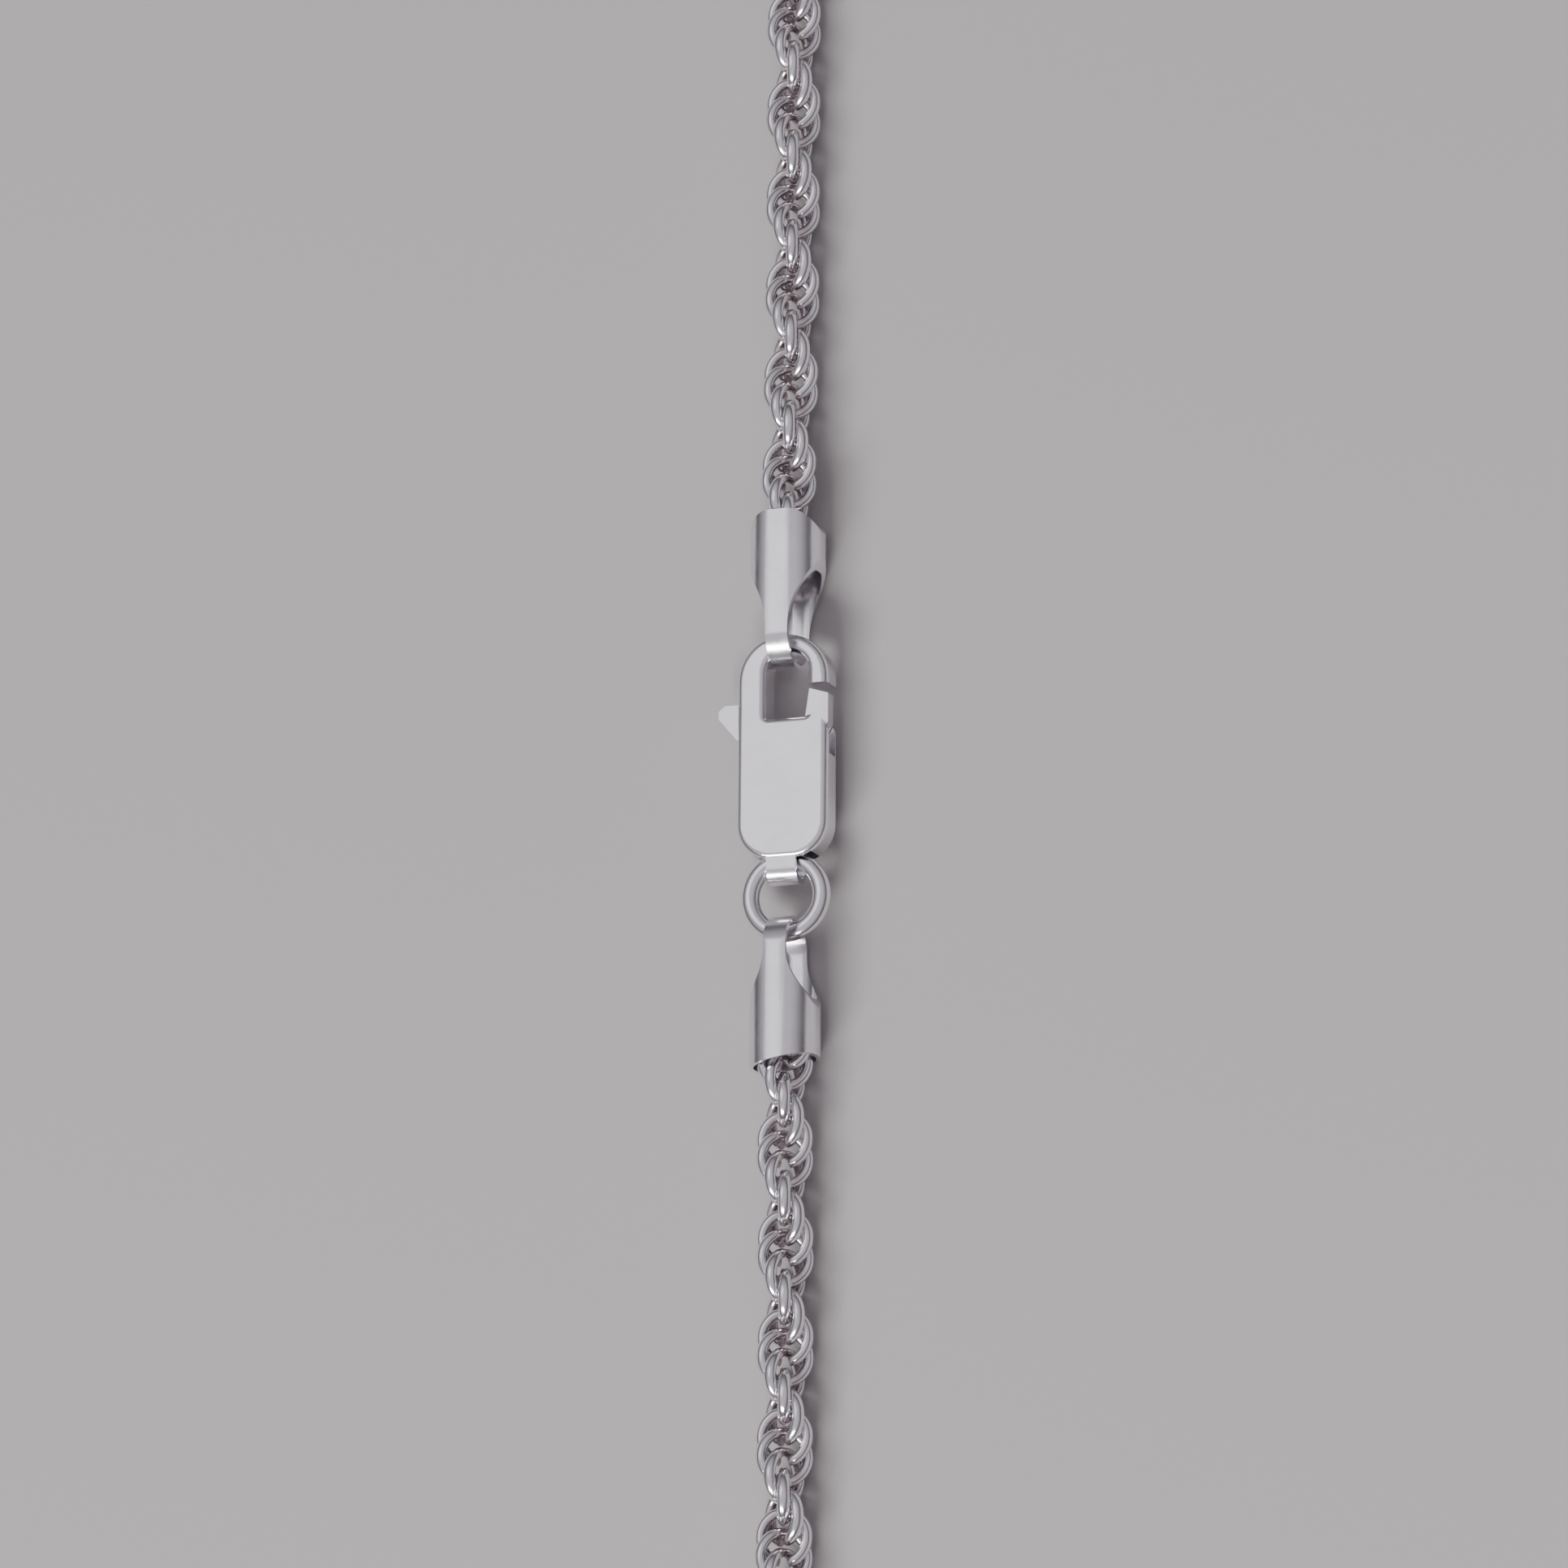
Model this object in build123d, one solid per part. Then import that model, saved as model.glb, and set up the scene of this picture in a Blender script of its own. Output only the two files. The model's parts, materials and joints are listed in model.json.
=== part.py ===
from build123d import *
import math
import os

# A rope chain necklace lying in a closed loop, its lobster clasp fastened.
# +Y runs along the clasp from the lower cap to the upper cap, +X points across the loop, +Z up.
# The origin is the middle of the loop's outer box, on the surface that the necklace lies on.
# All lengths are millimetres.

# Rope chain
WIRE_R = 0.243              # wire radius of one link
LINK_R = 1.25               # radius of a link's wire centreline
LINK_PITCH = 1.0            # advance along the chain from link to link
LINK_TWIST = -36.0          # turn about the chain from link to link, in degrees
LINK_GAP = 30.0             # opening in each link, in degrees
LINKS_PER_NODE = 12
LINK_NODES = 36
ROPE_R = LINK_R + WIRE_R    # outer radius of the rope

# End caps
CAP_R = 1.82                # half height of the formed sheet, and the fold's outer radius
UPPER_HALF_W = 1.90         # half widths of the two caps
LOWER_HALF_W = 1.76
CAP_CORNER = 1.6            # outer radius of the caps' long corners
SHEET = 0.22                # sheet thickness
NECK_HALF = 0.60            # half width of the strip at the fold
UPPER_LENGTH = 8.15         # from the fold's tip to the mouth
UPPER_NECK = 1.85           # straight part of the strip, from the fold's tip
UPPER_SHOULDER = 6.0        # where the strip reaches the cap's full width
LOWER_LENGTH = 7.60
LOWER_NECK = 1.9
LOWER_SHOULDER = 5.1
OVERCUT = 0.1               # how far the cutting outline stands outside a cap
INSET = 2.6                 # length of rope held in a cap's mouth
UPPER_MOUTH_ROUND = 1.5     # corner radius at each mouth, seen from above
LOWER_MOUTH_ROUND = 0.15
LOWER_MOUTH_LEAN = -0.35    # how much shorter the lower mouth is at its right than in the middle

# Clasp
CLASP_HALF_T = 0.90         # half thickness of the body
CLASP_HALF_W = 2.46
CLASP_BOTTOM = -4.14        # lower end of the plates
BOTTOM_ROUND = 1.9          # radius of the plates' lower corners
HOOK_R = 2.36               # outer radius of the hook
HOOK_TOP = 7.72
HOOK_BAR = 0.95             # width of the hook's bar at its top
EYE_LEFT = -0.92            # the opening in the hook
EYE_RIGHT = 1.39
EYE_BOTTOM = 3.30
HOOK_TIP = 4.98             # where the hook ends above the trigger's nose
SLOT_HALF = 0.46            # half height of the slot that holds the trigger
SPINE_X = -1.55             # left wall of that slot
PLATE_ROUND = 0.95          # radius of the plates' corner beside the gate
GATE_INSET = 0.25           # how far the gate's opening reaches into the hook's opening
SLOT_BOTTOM = -2.3
SIDE_WALL_X = 1.95          # inner face of the wall on the right of the slot
SIDE_WALL_TOP = 1.30
LEVER_SLOT = (0.75, 4.45)   # the lever's way out of the left side, along the clasp
LEVER_SLOT_X = -1.0         # where the lever's way out meets the slot
EDGE = 0.36                 # rounding of the body's edges

# Tail strip and jump ring
TAIL_HALF_W = 0.80
TAIL_SHEET = 0.21
TAIL_SETBACK = 0.07         # the strip's faces below the plates' faces
TAIL_OVERLAP = 0.7          # how far the strip reaches into the body
TAIL_DROP = 0.52            # the strip's bend from the middle of the ring's wire
RING_ROOM = 0.25            # clearance round the jump ring inside the body
ROOM_WALL = 0.24            # thickness of the plates beside the ring
RING_R = 1.93               # radius of the jump ring's wire centreline
RING_WIRE = 0.47            # wire radius of the jump ring
RING_Y = -5.96              # centre of the jump ring

# Trigger
PIN_X = 0.30
PIN_Y = 0.90
PIN_R = 0.35
PIN_CLEARANCE = 0.05
TRIGGER_HALF = 0.40         # half thickness of the trigger
LEVER_ROUND = 0.16          # rounding of the lever, seen from above
SPRING_WIRE = 0.12          # wire radius of the trigger's spring
SPRING_ROUND = 0.35         # bend radius of the spring

# Loop on the surface
BEND_R = 26.0               # radius of the two end bends
BULGE = math.radians(15)    # half angle of the return run's long curve
SETTLE = 14.0               # length over which the rope comes down from the caps to the surface

AXIS_Z = CAP_R              # height of the clasp's middle plane
UPPER_TIP = 6.00            # fold tips of the two caps, along the clasp
LOWER_TIP = -7.05
LEVER_REACH = 3.62          # how far the lever stands out from the clasp's middle

ROPE_LENGTH = LINK_PITCH * LINKS_PER_NODE * LINK_NODES
ROPE_START = UPPER_TIP + UPPER_LENGTH - INSET
ROPE_END = LOWER_LENGTH - LOWER_TIP - INSET
LOOP_LENGTH = ROPE_LENGTH + ROPE_START + ROPE_END
STRAIGHT = (LOOP_LENGTH - 2 * math.pi * BEND_R) / (2 + 2 * BULGE / math.sin(BULGE))
BULGE_R = STRAIGHT / math.sin(BULGE) + BEND_R
LOOP_WIDTH = BEND_R * (1 + math.cos(BULGE)) + BULGE_R * (1 - math.cos(BULGE))
CLASP_X = -(LOOP_WIDTH + ROPE_R - LEVER_REACH) / 2


def save(shape, name):
    export_step(shape, f"parts/{name}.step")


def loop_point(s):
    """Place and heading on the loop, s millimetres from the clasp's middle, upwards first."""
    bend_end = STRAIGHT + BEND_R * (math.pi - BULGE)
    if s > LOOP_LENGTH / 2:
        x, y, heading = loop_point(LOOP_LENGTH - s)
        return x, -y, math.pi - heading
    if s < STRAIGHT:
        return CLASP_X, s, math.pi / 2
    if s < bend_end:
        turn = (s - STRAIGHT) / BEND_R
        x = CLASP_X + BEND_R * (1 - math.cos(turn))
        return x, STRAIGHT + BEND_R * math.sin(turn), math.pi / 2 - turn
    left = (LOOP_LENGTH / 2 - s) / BULGE_R
    x = CLASP_X + LOOP_WIDTH - BULGE_R * (1 - math.cos(left))
    return x, BULGE_R * math.sin(left), left - math.pi / 2


def rope_height(s):
    """Height of the rope's axis: at the caps' axis near the clasp, on the surface elsewhere."""
    mouth = min(s - ROPE_START, LOOP_LENGTH - ROPE_END - s) - INSET
    fall = min(max(mouth / SETTLE, 0), 1)
    return ROPE_R + (AXIS_Z - ROPE_R) * (1 + math.cos(math.pi * fall)) / 2


def link_plane(index):
    """The plane of one link. It holds the rope's axis, and the link opens along that axis."""
    s = ROPE_START + (index + 0.5) * LINK_PITCH
    x, y, heading = loop_point(s)
    along = Vector(math.cos(heading), math.sin(heading), 0)
    side = along.cross(Vector(0, 0, 1))
    turn = math.radians(index * LINK_TWIST)
    out = side * math.cos(turn) + along.cross(side) * math.sin(turn)
    return Plane(origin=(x, y, rope_height(s)), x_dir=along * -1, z_dir=along.cross(out))


def make_links():
    """The rope: open rings on its axis, each turned and moved on from the one before."""
    ring = Solid.make_torus(LINK_R, WIRE_R, major_angle=360 - LINK_GAP)
    ring = ring.rotate(Axis.Z, LINK_GAP / 2)
    for node in range(LINK_NODES):
        first = node * LINKS_PER_NODE
        links = [ring.moved(Location(link_plane(first + i))) for i in range(LINKS_PER_NODE)]
        save(Compound(children=links), f"rope_links_{node + 1:02d}")


def box_between(low, high):
    size = [b - a for a, b in zip(low, high)]
    middle = [(a + b) / 2 for a, b in zip(low, high)]
    return Box(*size).moved(Location(tuple(middle)))


def folded_bar(radius, half_width, bend_y, end_y):
    """A flat bar across X, as thick as its round end at bend_y, running to end_y."""
    rod = Cylinder(radius, 2 * half_width).rotate(Axis.Y, 90)
    slab = box_between((-half_width, bend_y, -radius), (half_width, end_y, radius))
    return rod.moved(Location((0, bend_y, 0))) + slab


def cap_outline(half_width, length, neck_length, shoulder_end, mouth_round, mouth_lean):
    """The cap's sheet seen from above, from the fold's tip to the mouth."""
    wide = half_width + OVERCUT
    neck, shoulder = (NECK_HALF, neck_length), (wide, shoulder_end)
    left_neck, left_shoulder = (-NECK_HALF, neck_length), (-wide, shoulder_end)
    right_mouth, left_mouth = (wide, length - mouth_lean), (-wide, length + mouth_lean)
    with BuildSketch() as outline:
        with BuildLine():
            Polyline(left_neck, (-NECK_HALF, 0), (NECK_HALF, 0), neck)
            Spline(neck, shoulder, tangents=[(0, 1), (0.25, 1)])
            Polyline(shoulder, right_mouth, left_mouth, left_shoulder)
            Spline(left_shoulder, left_neck, tangents=[(0.25, -1), (0, -1)])
        make_face()
        fillet(outline.vertices().sort_by(Axis.Y)[-2:], mouth_round)
    return outline.sketch


def make_cap(outline, half_width, length):
    """A folded sheet tube with round long corners, cut away at both sides to leave the strip."""
    def bar(inset):
        section = RectangleRounded(2 * (half_width - inset), 2 * (CAP_R - inset), CAP_CORNER - inset)
        round_bar = extrude(Plane.XZ * section, amount=-length - 1)
        return round_bar & folded_bar(CAP_R - inset, half_width, CAP_R, length + 1)
    prism = extrude(outline, amount=2 * CAP_R, both=True)
    return (bar(0) - bar(SHEET)) & prism


def make_upper_cap():
    outline = cap_outline(
        UPPER_HALF_W, UPPER_LENGTH, UPPER_NECK, UPPER_SHOULDER, UPPER_MOUTH_ROUND, 0
    )
    cap = make_cap(outline, UPPER_HALF_W, UPPER_LENGTH)
    return cap.moved(Location((0, UPPER_TIP, 0)))


def make_lower_cap():
    outline = cap_outline(
        LOWER_HALF_W, LOWER_LENGTH, LOWER_NECK, LOWER_SHOULDER, LOWER_MOUTH_ROUND, LOWER_MOUTH_LEAN
    )
    cap = make_cap(outline, LOWER_HALF_W, LOWER_LENGTH).rotate(Axis.Z, 180)
    return cap.moved(Location((0, LOWER_TIP, 0)))


def plate_outline():
    """The clasp body seen from above, without the opening in its hook."""
    with BuildSketch() as outline:
        with Locations((0, (CLASP_BOTTOM + HOOK_TOP) / 2)):
            Rectangle(2 * CLASP_HALF_W, HOOK_TOP - CLASP_BOTTOM)
        top = outline.vertices().group_by(Axis.Y)[-1]
        fillet(top, HOOK_R)
        bottom = outline.vertices().group_by(Axis.Y)[0]
        fillet(bottom, BOTTOM_ROUND)
    return outline.sketch


def hook_opening():
    """The hook's opening, with its round top."""
    width = EYE_RIGHT - EYE_LEFT
    height = HOOK_TOP - HOOK_BAR - EYE_BOTTOM
    with BuildSketch() as opening:
        with Locations(((EYE_LEFT + EYE_RIGHT) / 2, EYE_BOTTOM + height / 2)):
            Rectangle(width, height)
        fillet(opening.vertices().group_by(Axis.Y)[-1], 0.45 * width)
        fillet(opening.vertices().group_by(Axis.Y)[0], 0.2)
    return opening.sketch


def make_tail():
    """The strip that joins the two plates round the jump ring."""
    bend_y = RING_Y + RING_R - TAIL_DROP
    top = CLASP_BOTTOM + TAIL_OVERLAP
    outside = CLASP_HALF_T - TAIL_SETBACK
    strip = folded_bar(outside, TAIL_HALF_W, bend_y, top)
    return strip - folded_bar(outside - TAIL_SHEET, TAIL_HALF_W, bend_y, top)


def make_gate_opening():
    """The gap that the trigger closes, with the round corner of the plates under it."""
    gap = box_between((EYE_RIGHT - GATE_INSET, EYE_BOTTOM, -2), (CLASP_HALF_W + 1, HOOK_TIP, 2))
    x, y = CLASP_HALF_W - PLATE_ROUND, EYE_BOTTOM - PLATE_ROUND
    corner = box_between((x, y, -2), (CLASP_HALF_W + 1, EYE_BOTTOM, 2))
    return gap + (corner - Cylinder(PLATE_ROUND, 5).moved(Location((x, y, 0))))


def make_slot():
    """The room for the trigger and its spring, with the lever's way out at the left."""
    def layer(low, high):
        return box_between((*low, -SLOT_HALF), (*high, SLOT_HALF))
    lower = layer((SPINE_X, SLOT_BOTTOM), (SIDE_WALL_X, SIDE_WALL_TOP))
    upper = layer((SPINE_X, SIDE_WALL_TOP), (CLASP_HALF_W + 1, EYE_BOTTOM + 0.01))
    lever_way = layer((-CLASP_HALF_W - 1, LEVER_SLOT[0]), (LEVER_SLOT_X, LEVER_SLOT[1]))
    return lower + upper + lever_way


def make_ring_room():
    """The space that the jump ring swings in, between the two sides of the tail strip."""
    room = Cylinder(RING_R + RING_WIRE + RING_ROOM, 2 * (CLASP_HALF_T - ROOM_WALL))
    room = room.moved(Location((0, RING_Y, 0)))
    return room - box_between((-TAIL_HALF_W, -8, -2), (TAIL_HALF_W, CLASP_BOTTOM - 0.25, 2))


def make_clasp_body():
    body = extrude(plate_outline(), amount=CLASP_HALF_T, both=True)
    body -= extrude(hook_opening(), amount=2 * CLASP_HALF_T, both=True)
    rims = [e for e in body.edges() if abs(abs(e.center().Z) - CLASP_HALF_T) < 0.01]
    body = fillet(rims, EDGE)
    body -= make_gate_opening()
    body += make_tail()
    body -= make_slot()
    body -= make_ring_room()
    return body - Cylinder(PIN_R, 4).moved(Location((PIN_X, PIN_Y, 0)))


def make_trigger():
    """The gate: a nose on the right, a thumb lever on the left, and a hub round the pin."""
    with BuildSketch() as plan:
        with BuildLine():
            Polyline(
                (1.34, 4.82), (1.12, 3.30), (-0.10, 2.65), (-1.05, 2.65), (-1.05, 3.05),
                (-1.85, 3.20), (-2.40, 4.22), (-3.30, 4.22), (-LEVER_REACH, 3.95),
                (-LEVER_REACH, 3.55), (-2.65, 2.40), (-1.60, 1.75), (-0.30, 0.55),
                (0.05, -0.05), (0.80, 0.00), (1.65, 1.60), (2.36, 3.00), (2.36, 4.50),
                (1.34, 4.82),
            )
        make_face()
        rounded = [v for v in plan.vertices() if v.X < -1.8]
        fillet(rounded, LEVER_ROUND)
    trigger = extrude(plan.sketch, amount=TRIGGER_HALF, both=True)
    hole = Cylinder(PIN_R + PIN_CLEARANCE, 4).moved(Location((PIN_X, PIN_Y, 0)))
    return trigger - hole


def make_spring():
    """A hairpin of wire in the slot's lower end, one leg under the trigger's hub."""
    corners = [(-1.1, -0.55, 0), (-1.1, -1.95, 0), (1.1, -1.95, 0), (0.5, -0.45, 0)]
    route = FilletPolyline(*corners, radius=SPRING_ROUND)
    section = Plane(origin=route @ 0, z_dir=route % 0) * Circle(SPRING_WIRE)
    return sweep(section, path=route)


def place(shape):
    """Moves a clasp piece from the clasp's own frame to the loop."""
    return shape.moved(Location((CLASP_X, 0, AXIS_Z)))


def main():
    os.makedirs("parts", exist_ok=True)
    make_links()
    ring = Solid.make_torus(RING_R, RING_WIRE).moved(Location((0, RING_Y, 0)))
    pin = Cylinder(PIN_R, 2 * CLASP_HALF_T).moved(Location((PIN_X, PIN_Y, 0)))
    save(place(make_upper_cap()), "end_cap_upper")
    save(place(make_lower_cap()), "end_cap_lower")
    save(place(ring), "jump_ring")
    save(place(make_clasp_body()), "clasp_body")
    save(place(make_trigger()), "trigger")
    save(place(pin), "trigger_pin")
    save(place(make_spring()), "trigger_spring")
    print("chain and clasp length", round(LOOP_LENGTH, 2), "loop", round(LOOP_WIDTH, 2))
    print("straight", round(STRAIGHT, 3), "clasp x", round(CLASP_X, 3), "ring y", RING_Y)


main()
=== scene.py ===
import json
import math

import bmesh
import bpy
import numpy as np
from mathutils import Matrix, Vector


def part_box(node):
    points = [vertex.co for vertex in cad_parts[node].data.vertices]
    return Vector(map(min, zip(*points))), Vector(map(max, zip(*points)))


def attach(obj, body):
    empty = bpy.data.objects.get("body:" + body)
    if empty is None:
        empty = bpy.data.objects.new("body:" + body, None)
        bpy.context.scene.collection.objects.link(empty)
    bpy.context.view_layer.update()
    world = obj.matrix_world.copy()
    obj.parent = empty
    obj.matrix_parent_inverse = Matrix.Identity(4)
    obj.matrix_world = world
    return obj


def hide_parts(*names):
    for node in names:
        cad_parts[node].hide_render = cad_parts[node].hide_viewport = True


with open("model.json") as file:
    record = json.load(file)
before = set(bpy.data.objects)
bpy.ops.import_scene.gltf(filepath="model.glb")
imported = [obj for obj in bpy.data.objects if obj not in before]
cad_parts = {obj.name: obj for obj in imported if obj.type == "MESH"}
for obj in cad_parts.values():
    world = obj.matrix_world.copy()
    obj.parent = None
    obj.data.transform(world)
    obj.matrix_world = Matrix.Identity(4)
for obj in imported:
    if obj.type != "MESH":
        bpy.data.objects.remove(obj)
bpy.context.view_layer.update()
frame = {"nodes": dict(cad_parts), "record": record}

# A rope chain necklace with its lobster clasp, seen from above the fastened clasp.
# +Y runs along the clasp, +Z is up, and lengths are metres.
MM = 0.001

# One link of the rope, in its own plane: an oval of wire, widest where it shows
LINK_OUT = 1.215 * MM         # half axis of the wire's centreline, away from the rope's axis
LINK_ALONG = 1.25 * MM        # half axis along the rope
INNER_WIRE = 0.23 * MM        # wire radius where the link crosses the rope's axis
OUTER_WIDE = 0.32 * MM        # half width of the wire where it is on the outside
OUTER_DEEP = 0.275 * MM       # half depth of the wire there
SWELL_END = 0.62 * MM         # distance from the rope's axis where the wire reaches full width
FLAT_AT = 1.47 * MM           # how far from the rope's axis the outside is polished flat
LINK_GAP = math.radians(26)
RING_STEPS = 52
WIRE_STEPS = 16
SHARP_EDGE = math.radians(50)
DEPTH_LAYER = "depth"         # a vertex's distance from the rope's axis, over the rope's radius
ROPE_R = LINK_OUT + OUTER_DEEP

# Metal: noise scales are per metre
SILVER = (0.92, 0.895, 0.935, 1)
STEEL = (0.55, 0.55, 0.56, 1)
DEEP_SHADE = (0.80, 0.76, 0.74, 1)      # the wire's shade where it lies deep in the rope
CLOUD_SCALE = 420
CLOUD_DARK = 0.9              # the cloudy tint's dark end, as a share of the tint
POLISH_SCALE = 900
HAIRLINE_SCALE = 1400
HAIRLINE_STRETCH = (9, 1, 1)
HAIRLINE_TURN = (0, 0, 0.3)
HAIRLINE_DEPTH = 0.006 * MM
DENT_SCALE = 650
DENT_DEPTH = 0.02 * MM

# Camera
VIEW_ROLL = math.radians(20)  # how far the camera looks from the clasp's right
VIEW_TILT = math.radians(14)  # and from below
VIEW_DISTANCE = 0.285
VIEW_WIDTH = 0.0805
CHAIN_LEAN = math.radians(0.4)
AIM = 0.407                   # the middle of the picture, from the clasp's tail to its hook
AIM_SIDE = -0.15 * MM         # and beside the clasp's middle

# Floor and light
FLOOR_SIZE = 3
FLOOR_COLOUR = (0.44, 0.42, 0.42, 1)
WORLD_LOW = (0.13, 0.125, 0.13, 1)
WORLD_HIGH = (0.60, 0.57, 0.62, 1)


def camera_place():
    """Above the clasp, a little to its right and below."""
    low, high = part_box("clasp_body")
    target = (low + high) / 2
    target.y = low.y + AIM * (high.y - low.y)
    target.x += AIM_SIDE
    back = Vector((math.sin(VIEW_ROLL), -math.sin(VIEW_TILT), math.cos(VIEW_ROLL))).normalized()
    right = Vector((0, 1, 0)).cross(back).normalized()
    lean = Matrix.Rotation(CHAIN_LEAN, 3, back)
    axes = (lean @ right, lean @ back.cross(right), back)
    place = Matrix(axes).transposed().to_4x4()
    place.translation = target + back * VIEW_DISTANCE
    return place


def make_camera():
    """A long lens, whose picture is VIEW_WIDTH wide at the clasp."""
    data = bpy.data.cameras.new("camera")
    data.sensor_width = 36
    data.lens = data.sensor_width * VIEW_DISTANCE / VIEW_WIDTH
    data.clip_start = 0.005
    camera = bpy.data.objects.new("camera", data)
    bpy.context.scene.collection.objects.link(camera)
    camera.matrix_world = camera_place()
    bpy.context.scene.camera = camera


def add_node(tree, kind, **values):
    """Adds a shader node and sets its inputs by name."""
    made = tree.nodes.new(kind)
    for key, value in values.items():
        made.inputs[key].default_value = value
    return made


def ramp(tree, source, low, high, start=0.3, end=0.7):
    """A colour ramp from low to high, driven by source."""
    made = tree.nodes.new("ShaderNodeValToRGB")
    for element, place, colour in zip(made.color_ramp.elements, (start, end), (low, high)):
        element.position = place
        element.color = colour
    tree.links.new(source, made.inputs["Fac"])
    return made.outputs["Color"]


def grey(value):
    return (value, value, value, 1)


def noise(tree, place, scale, detail, roughness):
    made = add_node(tree, "ShaderNodeTexNoise", Scale=scale, Detail=detail, Roughness=roughness)
    tree.links.new(place, made.inputs["Vector"])
    return made.outputs["Fac"]


def silver(name, tint, rough, scratch):
    """Polished metal: a faint cloudy tint, uneven polish, hairline scratches and tiny dents."""
    material = bpy.data.materials.new(name)
    material.use_nodes = True
    tree = material.node_tree
    shader = tree.nodes["Principled BSDF"]
    shader.inputs["Metallic"].default_value = 1.0
    place = tree.nodes.new("ShaderNodeTexCoord").outputs["Object"]
    clouds = noise(tree, place, CLOUD_SCALE, 4, 0.6)
    dull = tuple(CLOUD_DARK * value for value in tint[:3]) + (1,)
    tree.links.new(ramp(tree, clouds, dull, tint), shader.inputs["Base Color"])
    polish = noise(tree, place, POLISH_SCALE, 4, 0.7)
    roughness = ramp(tree, polish, grey(rough * 0.75), grey(rough * 1.35))
    tree.links.new(roughness, shader.inputs["Roughness"])
    stretch = add_node(tree, "ShaderNodeMapping", Scale=HAIRLINE_STRETCH, Rotation=HAIRLINE_TURN)
    tree.links.new(place, stretch.inputs["Vector"])
    lines = noise(tree, stretch.outputs["Vector"], HAIRLINE_SCALE, 5, 0.75)
    hairlines = add_node(tree, "ShaderNodeBump", Strength=scratch, Distance=HAIRLINE_DEPTH)
    tree.links.new(lines, hairlines.inputs["Height"])
    dents = add_node(tree, "ShaderNodeBump", Strength=scratch, Distance=DENT_DEPTH)
    tree.links.new(noise(tree, place, DENT_SCALE, 2, 0.5), dents.inputs["Height"])
    tree.links.new(hairlines.outputs["Normal"], dents.inputs["Normal"])
    tree.links.new(dents.outputs["Normal"], shader.inputs["Normal"])
    return material


def paint_deep_shade(material):
    """Paints shade into the wire's colour where it lies deep in the rope, by the depth stored on
    its vertices: painted shade in the rope's recesses.
    """
    tree = material.node_tree
    shader = tree.nodes["Principled BSDF"]
    metal = shader.inputs["Base Color"].links[0].from_socket
    depth = tree.nodes.new("ShaderNodeAttribute")
    depth.attribute_name = DEPTH_LAYER
    # painted shade: the deeper the wire lies in the rope, the darker its colour
    shade = ramp(tree, depth.outputs["Fac"], DEEP_SHADE, grey(1), 0.4, 0.75)
    mix = tree.nodes.new("ShaderNodeMix")
    mix.data_type = "RGBA"
    mix.blend_type = "MULTIPLY"
    mix.inputs["Factor"].default_value = 1.0
    colours = [socket for socket in mix.inputs if socket.type == "RGBA"]
    tree.links.new(metal, colours[0])
    tree.links.new(shade, colours[1])
    result = next(socket for socket in mix.outputs if socket.type == "RGBA")
    tree.links.new(result, shader.inputs["Base Color"])


def make_materials():
    """One material for each of the record's slots."""
    made = {
        "rope_silver": silver("rope_silver", SILVER, 0.15, 0.3),
        "cap_silver": silver("cap_silver", SILVER, 0.19, 0.5),
        "ring_silver": silver("ring_silver", SILVER, 0.15, 0.4),
        "clasp_silver": silver("clasp_silver", SILVER, 0.17, 0.5),
        "trigger_silver": silver("trigger_silver", SILVER, 0.19, 0.8),
        "spring_steel": silver("spring_steel", STEEL, 0.3, 0.5),
    }
    # painted shade deep in the rope, multiplied into the rope's colour
    paint_deep_shade(made["rope_silver"])
    return made


def islands(mesh):
    """The vertex positions of each loose piece of a mesh."""
    work = bmesh.new()
    work.from_mesh(mesh)
    bmesh.ops.remove_doubles(work, verts=work.verts, dist=1e-7)
    left = set(work.verts)
    pieces = []
    for start in work.verts:
        if start not in left:
            continue
        left.discard(start)
        stack, piece = [start], []
        while stack:
            vertex = stack.pop()
            piece.append(tuple(vertex.co))
            for edge in vertex.link_edges:
                other = edge.other_vert(vertex)
                if other in left:
                    left.discard(other)
                    stack.append(other)
        pieces.append(np.array(piece))
    work.free()
    return pieces


def link_axes(points):
    """A CAD link's centre, the direction away from its opening (along the rope), its normal."""
    mean = points.mean(0)
    axes = np.linalg.svd(points - mean, full_matrices=False)[2]
    flat = (points - mean) @ axes[:2].T
    system = np.column_stack([2 * flat, np.ones(len(flat))])
    fit = np.linalg.lstsq(system, (flat ** 2).sum(1), rcond=None)[0]
    centre = mean + fit[0] * axes[0] + fit[1] * axes[1]
    along = (mean - centre) / np.linalg.norm(mean - centre)
    return centre, along, axes[2]


def link_shape():
    """One link's vertices, as (out, along, normal), and its faces."""
    reach = math.pi - LINK_GAP / 2
    points = []
    for angle in np.linspace(-reach, reach, RING_STEPS) + math.pi / 2:
        out, along = LINK_OUT * math.cos(angle), LINK_ALONG * math.sin(angle)
        swell = min(abs(out) / SWELL_END, 1)
        swell = swell * swell * (3 - 2 * swell)
        deep = INNER_WIRE + (OUTER_DEEP - INNER_WIRE) * swell
        wide = INNER_WIRE + (OUTER_WIDE - INNER_WIRE) * swell
        for step in range(WIRE_STEPS):
            around = 2 * math.pi * step / WIRE_STEPS
            push = deep * math.cos(around)
            x = out + push * math.cos(angle)
            x = min(max(x, -FLAT_AT), FLAT_AT)
            points.append((x, along + push * math.sin(angle), wide * math.sin(around)))
    faces = []
    for i in range(RING_STEPS - 1):
        for j in range(WIRE_STEPS):
            k = (j + 1) % WIRE_STEPS
            a, b = i * WIRE_STEPS, (i + 1) * WIRE_STEPS
            faces.append((a + j, b + j, b + k, a + k))
    last = (RING_STEPS - 1) * WIRE_STEPS
    faces.append(tuple(range(WIRE_STEPS)))
    faces.append(tuple(last + j for j in reversed(range(WIRE_STEPS))))
    return np.array(points), faces


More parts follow.
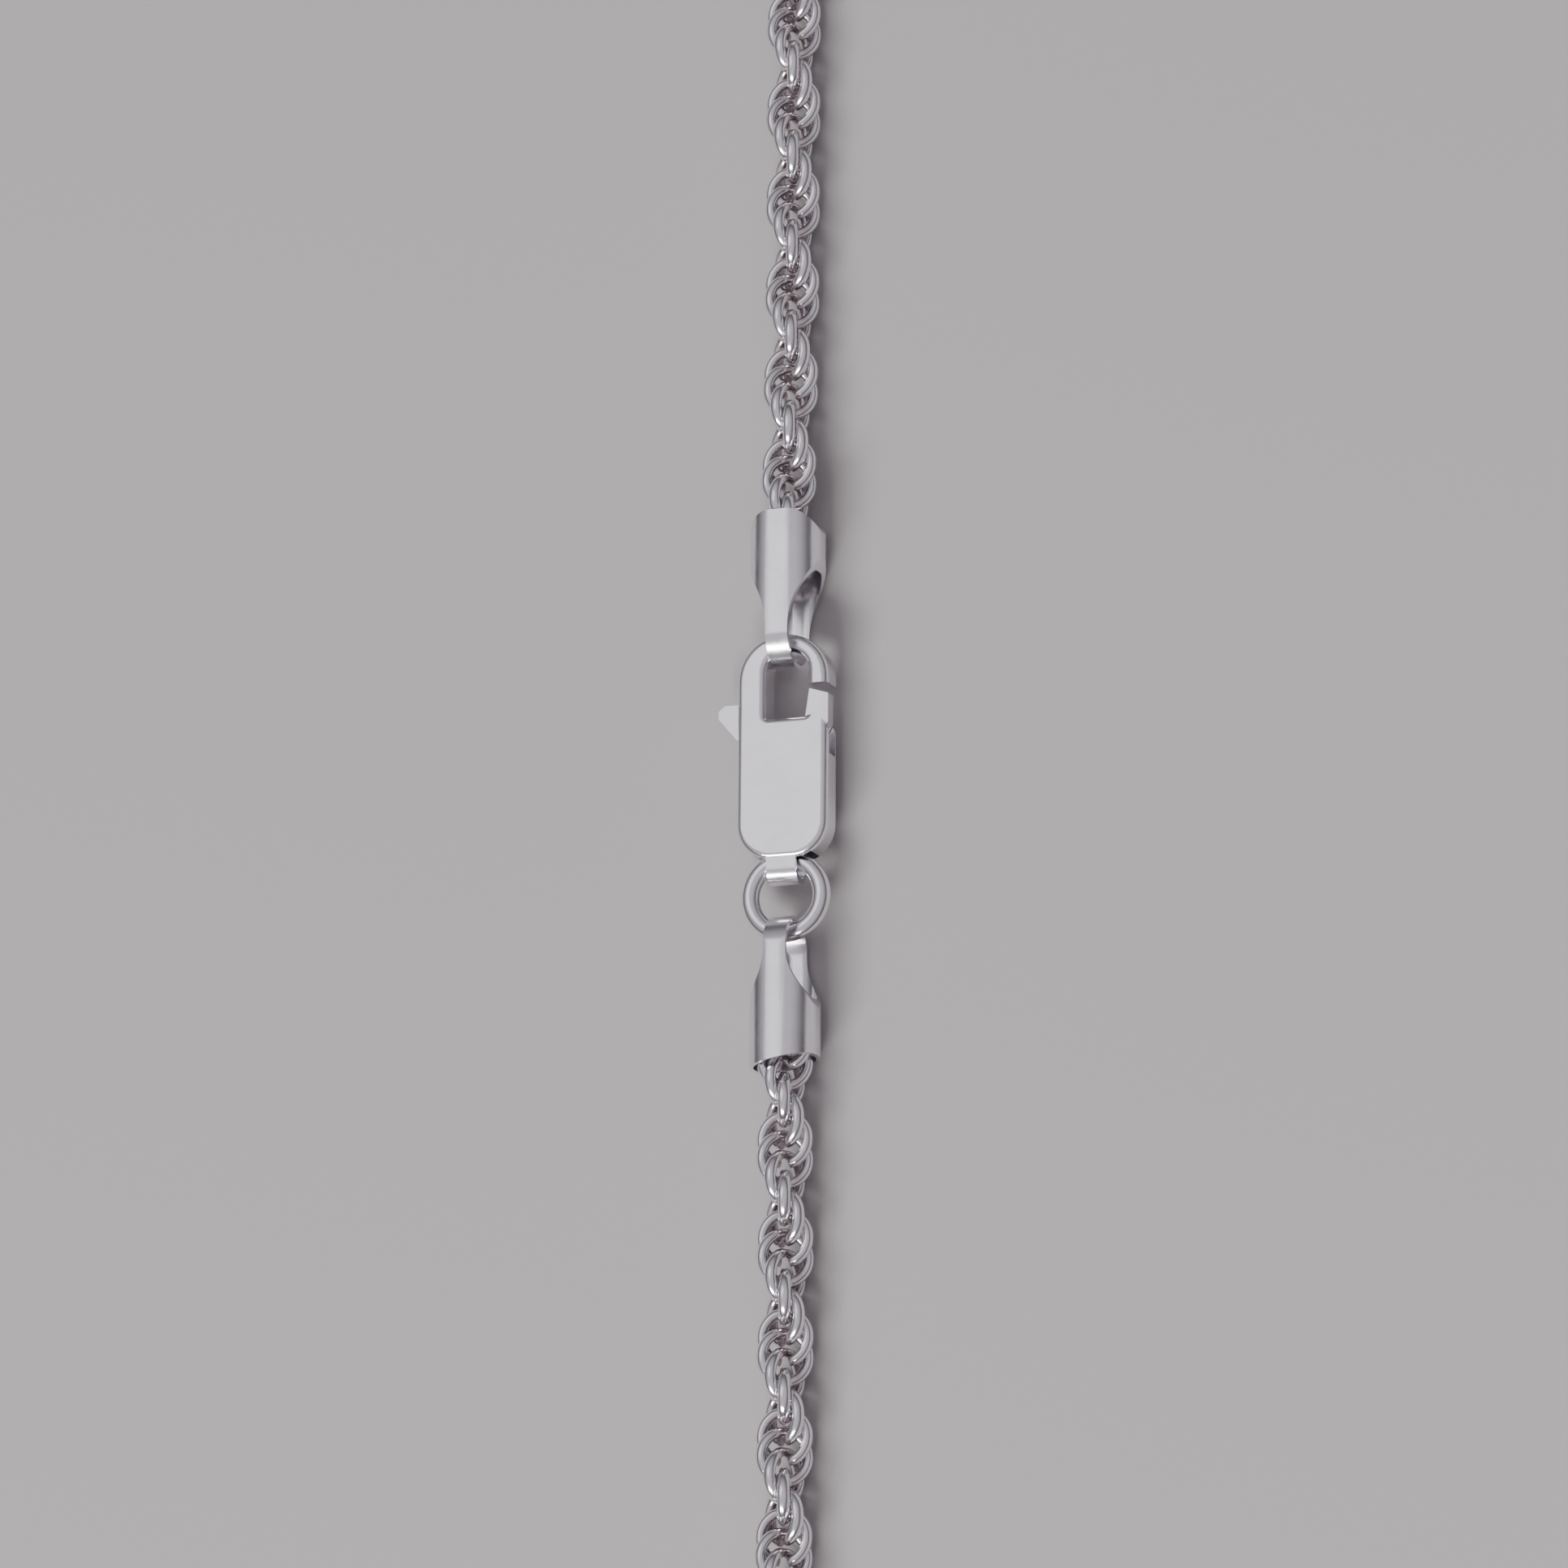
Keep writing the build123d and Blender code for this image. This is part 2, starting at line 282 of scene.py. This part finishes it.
def new_piece(name, points, faces, material):
    """A mesh object with outward normals and smooth shading."""
    mesh = bpy.data.meshes.new(name)
    mesh.from_pydata([tuple(p) for p in points], [], faces)
    mesh.update()
    work = bmesh.new()
    work.from_mesh(mesh)
    bmesh.ops.recalc_face_normals(work, faces=work.faces)
    work.to_mesh(mesh)
    work.free()
    mesh.shade_smooth()
    mesh.set_sharp_from_angle(angle=SHARP_EDGE)
    mesh.materials.append(material)
    piece = bpy.data.objects.new(name, mesh)
    bpy.context.scene.collection.objects.link(piece)
    return piece


def make_rope(material):
    """Every CAD link again, in its own plane, with the shape of its polished wire."""
    shape, shape_faces = link_shape()
    for name in sorted(n for n in frame["nodes"] if n.startswith("rope_links_")):
        points, faces = [], []
        for island in islands(frame["nodes"][name].data):
            centre, along, normal = link_axes(island)
            basis = np.array([np.cross(along, normal), along, normal])
            base = len(points)
            points += list(centre + shape @ basis)
            faces += [tuple(base + i for i in face) for face in shape_faces]
        piece = new_piece(name + "_wire", points, faces, material)
        layer = piece.data.attributes.new(DEPTH_LAYER, "FLOAT", "POINT")
        depths = np.hypot(shape[:, 0], shape[:, 2]) / ROPE_R
        layer.data.foreach_set("value", np.tile(depths, len(points) // len(shape)))
        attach(piece, "rope")
        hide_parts(name)


def finish_cad(materials):
    """Gives the CAD pieces the material of their slot."""
    slots = {part["node"]: part["material_slot"] for part in frame["record"]["subparts"]}
    slots["trigger_pin"] = slots["clasp_body"]     # polished over together with the plates
    for name, piece in frame["nodes"].items():
        piece.data.materials.clear()
        piece.data.materials.append(materials[slots[name]])


def make_floor():
    """A plain pale floor under the necklace."""
    bpy.ops.mesh.primitive_plane_add(size=FLOOR_SIZE, location=(0, 0, 0))
    floor = bpy.context.object
    floor.name = "floor"
    material = bpy.data.materials.new("floor")
    material.use_nodes = True
    shader = material.node_tree.nodes["Principled BSDF"]
    shader.inputs["Base Color"].default_value = FLOOR_COLOUR
    shader.inputs["Roughness"].default_value = 0.9
    floor.data.materials.append(material)


def area_light(name, place, size, power):
    """A rectangular soft light that points at the origin."""
    data = bpy.data.lights.new(name, "AREA")
    data.shape = "RECTANGLE"
    data.size, data.size_y = size
    data.energy = power
    light = bpy.data.objects.new(name, data)
    bpy.context.scene.collection.objects.link(light)
    light.location = place
    light.rotation_euler = (-Vector(place)).to_track_quat("-Z", "Y").to_euler()


def make_light():
    """A sky that brightens with height, a window in front and a wide panel above."""
    world = bpy.data.worlds.new("studio")
    world.use_nodes = True
    tree = world.node_tree
    height = tree.nodes.new("ShaderNodeSeparateXYZ")
    tree.links.new(tree.nodes.new("ShaderNodeTexCoord").outputs["Generated"], height.inputs[0])
    sky = ramp(tree, height.outputs["Z"], WORLD_LOW, WORLD_HIGH, 0.25, 0.85)
    tree.links.new(sky, tree.nodes["Background"].inputs["Color"])
    bpy.context.scene.world = world
    area_light("window", (-0.30, -0.93, 0.72), (0.75, 0.28), 20)
    area_light("ceiling", (-0.58, 0.41, 1.55), (1.0, 1.0), 2.1)


make_camera()
materials = make_materials()
finish_cad(materials)
make_rope(materials["rope_silver"])
make_floor()
make_light()
